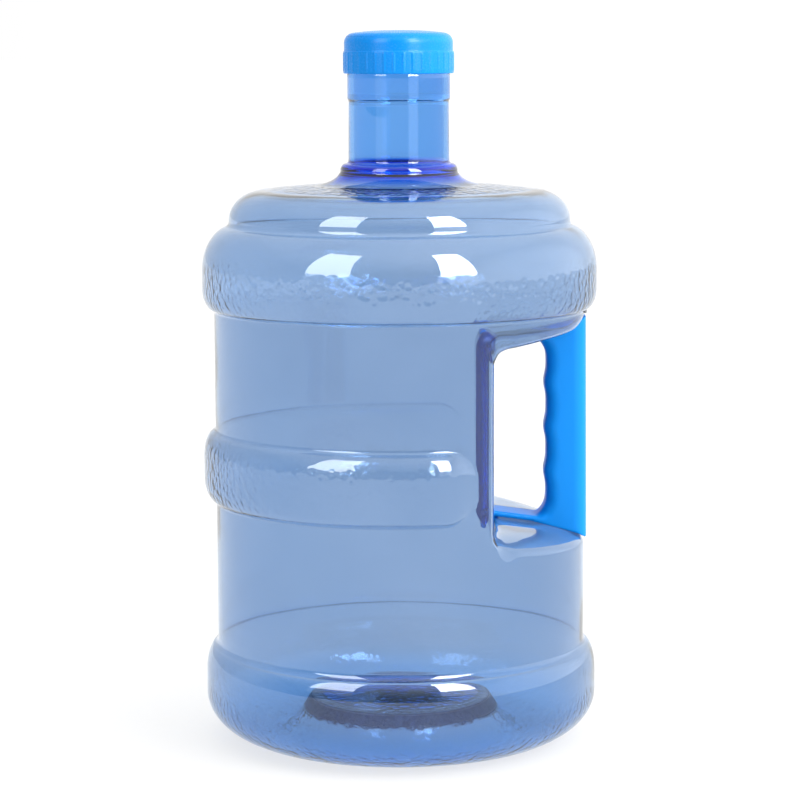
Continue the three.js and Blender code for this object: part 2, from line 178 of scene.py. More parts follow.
def new_object(name, verts, faces):
    """A smooth-shaded mesh object from vertices in millimetres."""
    mesh = bpy.data.meshes.new(name)
    mesh.from_pydata((np.asarray(verts) * MM).tolist(), [], [tuple(map(int, f)) for f in faces])
    mesh.validate()
    mesh.polygons.foreach_set("use_smooth", [True] * len(mesh.polygons))
    mesh.update()
    obj = bpy.data.objects.new(name, mesh)
    bpy.context.scene.collection.objects.link(obj)
    return obj


def grid_faces(columns, rows, wrap=True):
    """Quads of a grid of vertices that is stored column by column."""
    count = columns if wrap else columns - 1
    i = np.arange(count)[:, None]
    j = np.arange(rows - 1)[None, :]
    a = i * rows + j
    b = ((i + 1) % columns) * rows + j
    return np.stack([a, b, b + 1, a + 1], -1).reshape(-1, 4)


def turned(name, profile, columns, radius_at=None):
    """A closed profile of (radius, height) turned round Z.

    radius_at(angle, r, z) may change the radius."""
    p = np.asarray(profile, float)
    angle = np.arange(columns) * 2 * math.pi / columns
    a = np.repeat(angle[:, None], len(p), 1)
    r = np.repeat(p[None, :, 0], columns, 0)
    z = np.repeat(p[None, :, 1], columns, 0)
    if radius_at is not None:
        r = radius_at(a, r, z)
    verts = np.stack([r * np.cos(a), r * np.sin(a), z], -1).reshape(-1, 3)
    rows = len(p)
    i = np.arange(columns)[:, None]
    j = np.arange(rows)[None, :]
    k = (j + 1) % rows
    after = (i + 1) % columns
    corners = [i * rows + j, after * rows + j, after * rows + k, i * rows + k]
    return new_object(name, verts, np.stack(corners, -1).reshape(-1, 4))


def merge_close(obj, distance=0.004):
    """Joins vertices closer than distance, in millimetres, and makes all faces point out."""
    bm = bmesh.new()
    bm.from_mesh(obj.data)
    bmesh.ops.remove_doubles(bm, verts=bm.verts, dist=distance * MM)
    bmesh.ops.dissolve_degenerate(bm, edges=bm.edges, dist=distance * MM * 0.5)
    bmesh.ops.recalc_face_normals(bm, faces=bm.faces)
    for f in bm.faces:
        f.smooth = True
    bm.to_mesh(obj.data)
    bm.free()
    return obj


def thread(angle, z, start, turns, phase=0.0):
    """0 to 1: how far a helical ridge stands out at an angle and height."""
    along = (angle / (2 * math.pi) - phase) % 1.0 + phase
    out = np.zeros_like(z)
    for lap in range(int(math.ceil(turns)) + 1):
        t = along + lap
        inside = (t >= phase) & (t <= phase + turns)
        near = np.abs(z - (start + PITCH * t))
        side = 1 - (near - THREAD_CREST / 2) / ((THREAD_FOOT - THREAD_CREST) / 2)
        end = smooth(np.minimum(t - phase, phase + turns - t) / 0.12)
        out = np.maximum(out, np.where(inside, smooth(side) * end, 0))
    return out


# ---------------------------------------------------------------- bottle


def azimuths():
    """Angles round the bottle in radians, closer together where the hand recess and the rail have edges."""
    half = np.concatenate(
        [
            np.arange(0, 16, 1.0),
            np.arange(16, 52, 2.25),
            np.arange(52, 58, 0.5),
            np.arange(58, 65, 0.25),
            np.arange(65, 68, 0.6),
            np.arange(68, 80, 1.2),
            np.linspace(80, 180, 48),
        ]
    )
    return np.radians(np.concatenate([half, -half[1:-1][::-1]]))


def away_from_handle(phi):
    """Angle from the handle's side, from 0 to 180 degrees."""
    return np.abs(np.degrees(np.arctan2(np.sin(phi), np.cos(phi))))


def corner_rise(x):
    """How far the rounded corner of floor or ceiling and inner wall stands in at x."""
    return CORNER * (1 - np.sqrt(np.clip((x - WALL_X) / CORNER, 0, 1))) ** 2


def floor_at(r, phi, corner=0.0):
    """Height of the hand recess's floor; corner=1 includes its rounded inner corner."""
    x = r * np.cos(phi)
    flare = FLOOR_FLARE * np.clip((x - BODY_R + FLARE_REACH) / FLARE_REACH, 0, 1) ** 2
    lip = FLOOR_LIP * np.clip((r - BODY_R + LIP_REACH) / LIP_REACH, 0, 1) ** 2
    return FLOOR_Z - (x - WALL_X) * SLOPE - (flare**6 + lip**6) ** (1 / 6) + corner * corner_rise(x)


def ceiling_at(r, phi, corner=0.0):
    """Height of the hand recess's ceiling; corner=1 includes its rounded inner corner."""
    x = r * np.cos(phi)
    flare = CEILING_FLARE * np.clip((x - BODY_R + FLARE_REACH) / FLARE_REACH, 0, 1) ** 2
    lip = CEILING_LIP * np.clip((r - BODY_R + LIP_REACH) / LIP_REACH, 0, 1) ** 2
    return CEILING_Z + (x - WALL_X) * SLOPE + (flare**6 + lip**6) ** (1 / 6) - corner * corner_rise(x)


def soft_min(a, b, k):
    """The smaller of two values, with the change-over rounded within k."""
    h = np.clip(0.5 + 0.5 * (b - a) / k, 0, 1)
    return b + (a - b) * h - k * h * (1 - h)


def ledge(phi, wall_r, level, z_out, z_in, n_out=5, n_lip=6, n_flat=30, n_in=3):
    """Rows of vertices along the recess's floor or ceiling.

    They lead from the body's side at height z_out to the inner wall at height z_in, and where there is no
    recess they climb the body's side evenly."""
    body = np.full_like(phi, BODY_R)
    depth = body - wall_r
    lip = np.minimum(3.4, 0.4 * depth)
    way = math.copysign(1.0, z_in - z_out)
    rows_r, rows_z = [], []

    def add(r, z):
        rows_r.append(r)
        rows_z.append(z)

    edge_z = level(body, phi, 1.0)
    lip_start = edge_z - way * lip
    for t in np.linspace(0, 1, n_out + 1)[:-1]:
        add(body, z_out + (lip_start - z_out) * t)
    start = body - lip
    start_z = level(start, phi, 1.0)
    for t in np.linspace(0, 1, n_lip + 1):
        weights = ((1 - t) ** 2, 2 * t * (1 - t), t * t)
        r = weights[0] * body + weights[1] * body + weights[2] * start
        add(r, weights[0] * lip_start + weights[1] * edge_z + weights[2] * start_z)
    for t in np.linspace(0, 1, n_flat + 1)[1:]:
        r = wall_r + (start - wall_r) * (1 - t) ** 1.7
        add(r, level(r, phi, 1.0))
    for t in np.linspace(0, 1, n_in + 1)[1:-1]:
        add(wall_r, level(wall_r, phi, 1.0) * (1 - t) + z_in * t)
    r = np.stack(rows_r, 1)
    z = np.stack(rows_z, 1)
    even = np.linspace(z_out, z_in, z.shape[1] + 1)[None, :-1]
    there = smooth(depth / 0.4)[:, None]
    return r, even + (z - even) * there


def soft_quarter(inside, size, reach=1.6, foot=1.5):
    """A quarter ellipse's rise from 0 to 1 over size, with its steep start blended out over foot."""
    lean = 1 - np.clip(inside / size, 0, 1)
    rise = np.sqrt(1 - lean**2)
    join = math.sqrt(1 - (1 - reach / size) ** 2)
    slope = (1 - reach / size) / (size * join)
    u = np.clip((inside + foot) / (reach + foot), 0, 1)
    blend = (3 * u**2 - 2 * u**3) * join + (u**3 - u**2) * (reach + foot) * slope
    return np.where(inside < reach, blend, rise)


def ring_bulge(z):
    """How far the mid ring stands out of the body at a height."""
    low, high = MID_RING
    low_round, high_round = MID_ROUNDS
    return RING_RISE * np.minimum(soft_quarter(z - low, low_round), soft_quarter(high - z, high_round))


def bottle_outside(phi):
    """Radius and height of the bottle's outside, one row of values per azimuth."""
    columns = len(phi)

    def fixed(points):
        points = np.asarray(points)
        return np.repeat(points[None, :, 0], columns, 0), np.repeat(points[None, :, 1], columns, 0)

    steep = (RECESS_R + 1.2, RECESS_Z - 1.6)
    ring_side = BODY_R + 2.64
    base = [
        [(AXIS_HOLE, PLATEAU_Z + PLATEAU_CROWN)],
        quad_curve(
            (0, PLATEAU_Z + PLATEAU_CROWN),
            (PLATEAU_R / 2, PLATEAU_Z + PLATEAU_CROWN),
            (PLATEAU_R - 2.2, PLATEAU_Z + 0.1),
            14,
        ),
        quad_curve((PLATEAU_R - 2.2, PLATEAU_Z + 0.1), (PLATEAU_R, PLATEAU_Z), (PLATEAU_R + 1, 19.3), 5),
        line((PLATEAU_R + 1, 19.3), (RECESS_R - 0.8, RECESS_Z + 1.2), 3),
        quad_curve((RECESS_R - 0.8, RECESS_Z + 1.2), (RECESS_R, RECESS_Z), steep, 3),
        quad_curve(steep, ((RECESS_R + FOOT_R) / 2, 0), (FOOT_R - FOOT_WIDTH, 0), 12),
        line((FOOT_R - FOOT_WIDTH, 0), (FOOT_R, 0), 2),
        arc((FOOT_R, FOOT_RISE), (RING_R - FOOT_R, FOOT_RISE), -90, 0, 22)[1:],
        line((RING_R, FOOT_RISE), (RING_R, LOW_RING_TOP - LOW_RING_ROUND), 5),
        arc((BODY_R, LOW_RING_TOP - LOW_RING_ROUND), (RING_RISE, LOW_RING_ROUND), 0, 66, 14)[1:],
        quad_curve(
            (ring_side, LOW_RING_TOP - 1.3),
            (BODY_R, LOW_RING_TOP + 0.1),
            (BODY_R, LOW_RING_TOP + 2.8),
            9,
        ),
        line((BODY_R, LOW_RING_TOP + 2.8), (BODY_R, BODY_LINE_TOP), 12),
    ]
    low_r, low_z = fixed(np.concatenate(base))

    recess_r = WALL_X / np.maximum(np.cos(phi), 0.05)
    recess_r = np.minimum(recess_r, RECESS_FAR)
    wall_r = soft_min(np.full_like(phi, BODY_R), recess_r, EDGE_SOFT)
    floor_r, floor_z = ledge(phi, wall_r, floor_at, *FLOOR_ROWS)

    low, high = MID_RING
    edges = np.arange(-1.4, 1.7, 0.5)
    lift = 1 - np.cos(np.radians(np.linspace(33, 90, 9)))
    heights = np.concatenate(
        [
            [FLOOR_ROWS[1]],
            low + edges,
            low + MID_ROUNDS[0] * lift,
            np.linspace(low + MID_ROUNDS[0] + 0.8, high - MID_ROUNDS[1] - 0.8, 9),
            high - MID_ROUNDS[1] * lift[::-1],
            high - edges[::-1],
            np.linspace(high + 2.5, CEILING_ROWS[1], 14),
        ]
    )
    away = away_from_handle(phi)
    edge = math.degrees(math.acos(WALL_X / BODY_R))
    z = np.repeat(heights[None], columns, 0)
    start = edge + 4.5
    squeeze = smooth((away - start) / 11.0)[:, None]
    middle = (low + high) / 2
    mid_r = BODY_R + ring_bulge(middle + (z - middle) / np.maximum(squeeze**0.35, 0.05)) * squeeze
    mid_r = soft_min(mid_r, recess_r[:, None] + 0 * z, EDGE_SOFT)

    ceiling_r, ceiling_z = ledge(phi, wall_r, ceiling_at, *CEILING_ROWS)
    ceiling_r, ceiling_z = ceiling_r[:, ::-1], ceiling_z[:, ::-1]

    crown_x = RING_R - CROWN[0]
    crown_end = math.acos((SHOULDER_R - crown_x) / CROWN[0])
    crown_z = SHOULDER_BOTTOM - CROWN[1] * math.sin(crown_end)
    crown_cut = math.degrees(crown_end) - 7.0
    crown_last = arc((crown_x, crown_z), CROWN, crown_cut, crown_cut, 1)[0]
    land_top = SHOULDER_BOTTOM + SHOULDER_LAND
    pitch_top = SHOULDER_TOP + 2.2
    flare_end = (BEAD_R + 0.6, BEAD_BOTTOM - 0.4)
    bead_top = BEAD_BOTTOM + BEAD_HEIGHT
    collar_foot = (NECK_R + 0.2, COLLAR_BOTTOM + 0.3)
    bevel_foot = (COLLAR_R - 0.4, COLLAR_TOP + 0.25)
    top = [
        quad_curve(
            (BODY_R, CEILING_ROWS[0]),
            (BODY_R, TOP_RING_BOTTOM - 0.2),
            (ring_side, TOP_RING_BOTTOM + 1.0),
            8,
        ),
        arc((BODY_R, TOP_RING_BOTTOM + TOP_RING_ROUND), (RING_RISE, TOP_RING_ROUND), -66, 0, 13)[1:],
        line((RING_R, TOP_RING_BOTTOM + TOP_RING_ROUND), (RING_R, crown_z), 4),
        arc((crown_x, crown_z), CROWN, 0, crown_cut, 20)[1:],
        quad_curve(crown_last, (SHOULDER_R, SHOULDER_BOTTOM + 0.1), (SHOULDER_R, land_top), 9),
        arc((SHOULDER_R - SHOULDER_ROUND[0], land_top), SHOULDER_ROUND, 0, 86, 22)[1:],
        quad_curve(
            (SHOULDER_R - SHOULDER_ROUND[0] + 1.3, SHOULDER_TOP - 0.05),
            (SHOULDER_R - SHOULDER_ROUND[0] - 6, SHOULDER_TOP + 0.6),
            (BEAD_R + 18, pitch_top),
            8,
        ),
        quad_curve((BEAD_R + 18, pitch_top), (BEAD_R + 4, pitch_top + 0.8), flare_end, 14),
        quad_curve(flare_end, (BEAD_R - 0.2, BEAD_BOTTOM + 0.4), (BEAD_R, BEAD_BOTTOM + 1.3), 4),
        arc((NECK_R + 1.4, BEAD_BOTTOM + 1.3), (BEAD_R - NECK_R - 1.4, BEAD_HEIGHT - 2.4), 0, 84, 10)[1:],
        quad_curve(
            (NECK_R + 1.7, bead_top - 1.12),
            (NECK_R + 0.15, bead_top - 1.0),
            (NECK_R + 0.05, bead_top + 0.6),
            5,
        ),
        line((NECK_R + 0.05, bead_top + 0.6), (NECK_R - 0.2, COLLAR_BOTTOM - 0.5), 12),
        quad_curve((NECK_R - 0.2, COLLAR_BOTTOM - 0.5), (NECK_R - 0.2, COLLAR_BOTTOM), collar_foot, 3),
        quad_curve(collar_foot, (COLLAR_R, COLLAR_BOTTOM + 0.7), (COLLAR_R, COLLAR_BOTTOM + 1.4), 3),
        line((COLLAR_R, COLLAR_BOTTOM + 1.4), (COLLAR_R, COLLAR_TOP - 0.3), 5),
        quad_curve((COLLAR_R, COLLAR_TOP - 0.3), (COLLAR_R, COLLAR_TOP), bevel_foot, 3),
        line(bevel_foot, (THREAD_ROOT, COLLAR_TOP + BEVEL), 2),
        line((THREAD_ROOT, COLLAR_TOP + BEVEL), (THREAD_ROOT, RIM - 0.6), 44),
        quad_curve((THREAD_ROOT, RIM - 0.6), (THREAD_ROOT, RIM), (THREAD_ROOT - 0.6, RIM), 4),
        line((THREAD_ROOT - 0.6, RIM), (BORE_R + 0.5, RIM), 2),
    ]
    top_r, top_z = fixed(np.concatenate(top))
    turn = np.repeat(phi[:, None] % (2 * math.pi), top_z.shape[1], 1)
    ridge = thread(turn, top_z, NECK_THREAD_START, NECK_THREAD_TURNS)
    top_r = top_r + THREAD_DEPTH * ridge * (top_z > COLLAR_TOP + BEVEL) * (top_z < RIM - 0.5)

    r = np.concatenate([low_r, floor_r, mid_r, ceiling_r, top_r], 1)
    z = np.concatenate([low_z, floor_z, z, ceiling_z, top_z], 1)
    return r, z


def waviness(p):
    """The slow unevenness of a blown wall, always inward, in millimetres, at points in millimetres."""
    x, y, z = p[..., 0], p[..., 1], p[..., 2]
    a = np.arctan2(y, x)
    waves = (np.sin(lobes * a + rise * z + start) * height for lobes, rise, start, height in WAVES)
    return sum(waves) - WAVE_SHIFT


def soften_edges(points, phi, z):
    """Smooths the upright edges between the recess's inner wall and the body."""
    away = away_from_handle(phi)[:, None]
    near, far = EDGE_ANGLES
    low, high = EDGE_HEIGHTS
    edge = smooth((away - near) / 4) * smooth((far - away) / 3)
    edge = edge * smooth((z - low) / 4) * smooth((high - z) / 4)
    for _ in range(EDGE_PASSES):
        beside = np.roll(points, 1, 0) + np.roll(points, -1, 0)
        mean = (beside + np.roll(points, 1, 1) + np.roll(points, -1, 1)) / 4
        points = points + (mean - points) * (EDGE_PULL * edge)[..., None]
    return points


def make_bottle():
    """The blown bottle: its outside, an inside one wall thickness further in, and the neck's bore."""
    phi = azimuths()
    r, z = bottle_outside(phi)
    columns, rows = r.shape
    outside = np.stack([r * np.cos(phi)[:, None], r * np.sin(phi)[:, None], z], -1)
    outside = soften_edges(outside, phi, z)

    around = np.roll(outside, -1, 0) - np.roll(outside, 1, 0)
    up = np.gradient(outside, axis=1)
    normal = np.cross(around, up)
    normal /= np.maximum(np.linalg.norm(normal, axis=2, keepdims=True), 1e-9)
    normal[:, 0] = (0, 0, -1)

    body_end = int(np.argmax((z[0] > BEAD_BOTTOM - 0.5) & (np.arange(rows) > rows // 2)))
    shaped = (z > 4) & (z < SHOULDER_TOP + 1)
    outside = outside + normal * (waviness(outside) * shaped * (r > 40))[..., None]

    wall = np.full_like(r, BODY_WALL)
    middle = 1 - smooth(r / PLATEAU_R)
    wall += (PLATEAU_WALL - BODY_WALL) * middle * (z < 30)
    neck = 1 - smooth(r / SHOULDER_R)
    wall += (NECK_WALL - BODY_WALL) * neck * (z > SHOULDER_BOTTOM)
    x, y = outside[..., 0], outside[..., 1]
    by_rail = smooth((ARM_WIDTH / 2 + 2.2 - np.abs(y)) / 1.6)
    by_rail = by_rail * smooth((WALL_X + 4.0 - x) / 2.5) * (x > 20)
    by_rail *= smooth((z - FLOOR_Z + 9) / 3) * smooth((CEILING_Z + 9 - z) / 3)
    wall += RAIL_WALL * by_rail
    wall += WALL_WAVE * np.sin(7 * phi[:, None] + 0.03 * z) * (z < SHOULDER_BOTTOM)

    inner = outside[:, : body_end + 1] - normal[:, : body_end + 1] * wall[:, : body_end + 1, None]
    last = inner[:, -1]
    last_r = np.linalg.norm(last[:, :2], axis=1)
    throat = []
    for t in np.linspace(0, 1, 7)[1:]:
        radius = last_r * (1 - t) ** 2 + BORE_R * (1 - (1 - t) ** 2)
        height = last[:, 2] + (4.0 + BEAD_HEIGHT) * t * t
        throat.append(np.stack([radius * np.cos(phi), radius * np.sin(phi), height], 1))
    for height in np.linspace(BEAD_BOTTOM + 12, RIM - 0.5, 12):
        throat.append(np.stack([BORE_R * np.cos(phi), BORE_R * np.sin(phi), np.full_like(phi, height)], 1))
    inner = np.concatenate([inner, np.stack(throat, 1)], 1)[:, ::-1]

    whole = np.concatenate([outside, inner], 1)
    total = whole.shape[1]
    obj = new_object("bottle_shell", whole.reshape(-1, 3), grid_faces(columns, total))
    close_axis_holes(obj, columns, total)
    return obj


def close_axis_holes(obj, columns, total):
    """Closes the two tiny holes on the axis of a surface whose first and last rows lie round it."""
    bm = bmesh.new()
    bm.from_mesh(obj.data)
    bm.verts.ensure_lookup_table()
    first = [bm.verts[i * total] for i in range(columns)]
    last = [bm.verts[i * total + total - 1] for i in range(columns)]
    for ring in (first, last):
        centre = sum((v.co for v in ring), Vector()) / columns
        hub = bm.verts.new(Vector((0, 0, centre.z)))
        for a, b in zip(ring, ring[1:] + ring[:1]):
            bm.faces.new((a, b, hub))
    bmesh.ops.recalc_face_normals(bm, faces=bm.faces)
    for f in bm.faces:
        f.smooth = True
    bm.to_mesh(obj.data)
    bm.free()


# ---------------------------------------------------------------- handle


def loft(name, sections):
    """A closed tube through sections, each a closed loop of the same number of points, with flat ends."""
    sections = np.asarray(sections)
    count, loop = sections.shape[:2]
    quads = grid_faces(count, loop, wrap=False)
    close = np.array(
        [
            [i * loop + loop - 1, (i + 1) * loop + loop - 1, (i + 1) * loop, i * loop]
            for i in range(count - 1)
        ]
    )
    ends = [list(range(loop)), list(range((count - 1) * loop, count * loop))]
    faces = [tuple(f) for f in quads] + [tuple(f) for f in close] + [tuple(e) for e in ends]
    return merge_close(new_object(name, sections.reshape(-1, 3), faces))


def round_rectangle(width, height, radius, n=6):
    """A closed loop of points round a rectangle centred on zero, with rounded corners."""
    points = []
    for cx, cy, start in ((1, 1, 0), (-1, 1, 90), (-1, -1, 180), (1, -1, 270)):
        centre = (cx * (width / 2 - radius), cy * (height / 2 - radius))
        points.append(arc(centre, (radius, radius), start, start + 90, n))
    return np.concatenate(points)


def grip_inner(z):
    """X of the grip's finger side at a height."""
    middle = (FLOOR_Z + CEILING_Z) / 2
    reach = (FINGER_RIDGES + 1) * FINGER_PITCH / 2
    away = np.abs(z - middle)
    ridge = ((1 + np.cos(2 * math.pi * (z - middle) / FINGER_PITCH)) / 2) ** 2
    ridge *= smooth((reach - away) / 6)
    ends = GRIP_END_FLARE * np.clip(away / reach, 0, 1.04) ** 16
    return GRIP_OUT - GRIP_DEPTH - FINGER_DEPTH * ridge - ends


def make_grip():
    """The upright grip between the recess's floor and ceiling."""
    sections = []
    middle = (FLOOR_Z + CEILING_Z) / 2
    for t in np.linspace(0, 1, 130):
        loop = []
        z_guess = FLOOR_Z + (CEILING_Z - FLOOR_Z) * t
        inner = float(grip_inner(np.array(z_guess)))
        outer = GRIP_OUT - GRIP_LEAN * (z_guess - middle) / 79.0
        width = outer - inner
        for px, py in round_rectangle(width, GRIP_WIDTH, 7.0, 7):
            x = (inner + outer) / 2 + px
            low = float(floor_at(np.array(x), 0.0)) + GAP
            high = float(ceiling_at(np.array(x), 0.0)) - GAP
            loop.append((x, py, low + (high - low) * t))
        sections.append(loop)
    return loft("handle_grip", sections)


def make_arm(name, level, way):
    """A flat arm that follows the recess's floor or ceiling from the rail to the grip."""
    sections = []
    for x in np.linspace(WALL_X - RAIL_SINK - RAIL_THICK / 2, 86, 44):
        z = float(level(np.array(x), 0.0)) + way * (GAP + ARM_THICK / 2)
        sections.append([(x, py, z + pz) for py, pz in round_rectangle(ARM_WIDTH, ARM_THICK, 1.1, 4)])
    return loft(name, sections)


# side, distance in from that side, and how much smaller the section is there
RAIL_ENDS = ((-1, 0, 0.7), (-1, 0.25, 0.25), (-1, 0.8, 0), (1, -0.8, 0), (1, -0.25, 0.25), (1, 0, 0.7))
# side, distance in from that side, and the boss's radius there
BOSS_ENDS = ((-1, 0, 2.5), (-1, 0.3, 3.0), (-1, 1.0, 3.3), (1, -1.0, 3.3), (1, -0.3, 3.0), (1, 0, 2.5))


def make_rail():
    """The upright bar behind the recess's inner wall, with a knob along each end."""
    half = RAIL_THICK / 2
    x = WALL_X - half - RAIL_SINK
    bottom = FLOOR_Z - RAIL_OVERRUN
    top = CEILING_Z + RAIL_OVERRUN - RAIL_KNOB
    lean = math.degrees(math.asin(half / RAIL_KNOB))
    upper = arc((x, top), (RAIL_KNOB, RAIL_KNOB), lean - 90, 270 - lean, 16)
    lower = arc((x, bottom), (RAIL_KNOB, RAIL_KNOB), 90 + lean, 450 - lean, 16)
    outline = np.concatenate([upper, lower])
    sections = []
    edge = RAIL_WIDTH / 2
    for side, inset, shrink in RAIL_ENDS:
        y = side * edge + inset
        centre = np.array([x, (top + bottom) / 2])
        span = np.array([half, (top - bottom) / 2 + RAIL_KNOB])
        scaled = centre + (outline - centre) * (1 - shrink / span)
        sections.append([(px, y, pz) for px, pz in scaled])
    return loft("handle_rail", sections)


def make_boss():
    """The round end of the upper arm's root, where it meets the rail."""
    x, z, half = WALL_X - 0.6, CEILING_Z - 0.9, RAIL_WIDTH / 2
    sections = []
    for side, inset, r in BOSS_ENDS:
        y = side * half + inset
        sections.append([(px, y, pz) for px, pz in arc((x, z), (r, r), 0, 345, 23)])
    return loft("handle_boss", sections)


def join(name, objects):
    """Several meshes as one object, fused by a fine voxel remesh and smoothed, as one moulding."""
    bpy.ops.object.select_all(action="DESELECT")
    for o in objects:
        o.select_set(True)
    bpy.context.view_layer.objects.active = objects[0]
    bpy.ops.object.join()
    obj = bpy.context.view_layer.objects.active
    obj.name = obj.data.name = name
    remesh = obj.modifiers.new("fuse", "REMESH")
    remesh.mode = "VOXEL"
    remesh.voxel_size = FUSE_VOXEL * MM
    remesh.use_smooth_shade = True
    soften = obj.modifiers.new("soften", "SMOOTH")
    soften.factor = FUSE_SMOOTHING
    soften.iterations = FUSE_PASSES
    for modifier in ("fuse", "soften"):
        bpy.ops.object.modifier_apply(modifier=modifier)
    return obj


def make_handle():
    """The handle: grip, two arms, and the rail with its boss behind the recess."""
    pieces = [
        make_grip(),
        make_arm("arm_low", floor_at, 1),
        make_arm("arm_high", ceiling_at, -1),
        make_rail(),
        make_boss(),
    ]
    return join("handle_moulding", pieces)


# ---------------------------------------------------------------- cap and seal


def make_cap():
    """The screw cap: ribbed skirt, domed top, inner plug and internal thread."""
    foot = CAP_R + CAP_BAND
    skirt = CAP_BOTTOM + 2
    step = (CAP_R + 0.1, CAP_BAND_TOP + 0.1)
    outer = np.concatenate(
        [
            rounded([(CAP_BORE, skirt), (CAP_BORE, CAP_BOTTOM), (foot, CAP_BOTTOM), (foot, skirt)], 0.35),
            line((foot, skirt), (foot, CAP_BAND_TOP - 0.3), 14),
            quad_curve((foot, CAP_BAND_TOP - 0.3), (foot, CAP_BAND_TOP), step, 3),
            quad_curve(step, (CAP_R - 0.02, CAP_BAND_TOP + 0.2), (CAP_R, CAP_BAND_TOP + 0.5), 2),
            line((CAP_R, CAP_BAND_TOP + 0.5), (CAP_R, CAP_TOP - CAP_ROUND), 5),
            arc((CAP_R - CAP_ROUND, CAP_TOP - CAP_ROUND), (CAP_ROUND, CAP_ROUND), 0, 82, 14)[1:],
            quad_curve(
                (CAP_R - CAP_ROUND + 0.76, CAP_TOP - 0.05),
                (CAP_R / 2, CAP_TOP + CAP_CROWN),
                (AXIS_HOLE, CAP_TOP + CAP_CROWN),
                12,
            ),
        ]
    )
    under = np.concatenate(
        [
            line((AXIS_HOLE, CAP_CEILING), (PLUG_R - PLUG_WALL, CAP_CEILING), 6),
            rounded(
                [
                    (PLUG_R - PLUG_WALL, CAP_CEILING),
                    (PLUG_R - PLUG_WALL, RIM - PLUG_DEPTH),
                    (PLUG_R - 0.5, RIM - PLUG_DEPTH),
                    (PLUG_R, RIM - PLUG_DEPTH + 1.6),
                    (PLUG_R, CAP_CEILING),
                    (CAP_BORE, CAP_CEILING),
                ],
                0.3,
            )[1:],
            line((CAP_BORE, CAP_CEILING), (CAP_BORE, CAP_BOTTOM + 2.05), 44),
        ]
    )
    profile = np.concatenate([outer, under])

    def radius_at(angle, r, z):
        rib = np.abs(((angle * RIBS / (2 * math.pi)) % 1.0) - 0.5) * 2  # 0 on a rib's crest
        raised = smooth((0.30 - rib) / 0.22) * RIB_RISE
        band = smooth((z - CAP_BOTTOM - 0.5) / 0.7) * smooth((CAP_BAND_TOP - 0.4 - z) / 0.7)
        ridge = thread(angle, z, NECK_THREAD_START - PITCH / 2, CAP_THREAD_TURNS, CAP_THREAD_PHASE)
        on_outside = r > CAP_R - 0.01
        on_bore = np.abs(r - CAP_BORE) < 0.01
        return r + raised * band * on_outside - THREAD_DEPTH * ridge * on_bore

    cap = turned("cap_shell", profile, TURN_COLUMNS, radius_at)
    return merge_close(cap, 0.06)


def make_seal():
    """The flat sealing ring between the neck's rim and the cap."""
    inner = PLUG_R + GAP
    outer = CAP_BORE - GAP
    low, high = SEAL_BOTTOM, SEAL_BOTTOM + SEAL_THICK
    square = [(inner + 1, low), (outer, low), (outer, high), (inner, high), (inner, low), (inner + 1, low)]
    return merge_close(turned("seal_ring", rounded(square, 0.35, 4)[:-1], 96), 0.01)


# ---------------------------------------------------------------- materials


class Nodes:
    """A material's node tree with short calls to add and link nodes."""

    def __init__(self, name):
        self.material = bpy.data.materials.new(name)
        self.material.use_nodes = True
        self.tree = self.material.node_tree
        self.shader = self.tree.nodes["Principled BSDF"]
        self.output = self.tree.nodes["Material Output"]
        self.place = self.add("ShaderNodeTexCoord").outputs["Object"]

    def add(self, kind, **values):
        node = self.tree.nodes.new(kind)
        for key, value in values.items():
            if key.startswith("in_"):
                node.inputs[key[3:].replace("_", " ")].default_value = value
            else:
                setattr(node, key, value)
        return node

    def link(self, source, target):
        self.tree.links.new(source, target)

    def noise(self, scale, detail=2.0, vector=None):
        node = self.add("ShaderNodeTexNoise", in_Scale=scale, in_Detail=detail)
        self.link(vector or self.place, node.inputs["Vector"])
        return node.outputs["Fac"]

    def ramp(self, source, stops):
        node = self.add("ShaderNodeValToRGB")
        ramp = node.color_ramp
        while len(ramp.elements) < len(stops):
            ramp.elements.new(1.0)
        for element, (position, colour) in zip(ramp.elements, stops):
            element.position = position
            element.color = (*colour, 1.0)
        self.link(source, node.inputs["Fac"])
        return node.outputs["Color"]

    def math(self, operation, a, b=None):
        node = self.add("ShaderNodeMath", operation=operation)
        for socket, value in zip(node.inputs, (a, b)):
            if value is None:
                continue
            if isinstance(value, (int, float)):
                socket.default_value = value
            else:
                self.link(value, socket)
        return node.outputs[0]

    def mix(self, factor, a, b):
        """Colour a where factor is 0, colour b where it is 1."""
        node = self.add("ShaderNodeMix", data_type="RGBA")
        for place, value in ((0, factor), (6, a), (7, b)):
            socket = node.inputs[place]
            if isinstance(value, (int, float)):
                socket.default_value = value
            elif isinstance(value, tuple):
                socket.default_value = (*value, 1.0)
            else:
                self.link(value, socket)
        return node.outputs[2]

    def bump(self, height, strength, distance, normal=None):
        node = self.add("ShaderNodeBump", in_Strength=strength, in_Distance=distance)
        self.link(height, node.inputs["Height"])
        if normal is not None:
            self.link(normal, node.inputs["Normal"])
        return node.outputs["Normal"]

    def band(self, source, low, high, soft):
        """1 where source lies between low and high, falling to 0 over soft."""
        sides = []
        for start, end in ((low - soft, low + soft), (high + soft, high - soft)):
            side = self.add("ShaderNodeMapRange", interpolation_type="SMOOTHSTEP")
            side.inputs["From Min"].default_value = start
            side.inputs["From Max"].default_value = end
            self.link(source, side.inputs["Value"])
            sides.append(side.outputs[0])
        return self.math("MULTIPLY", *sides)


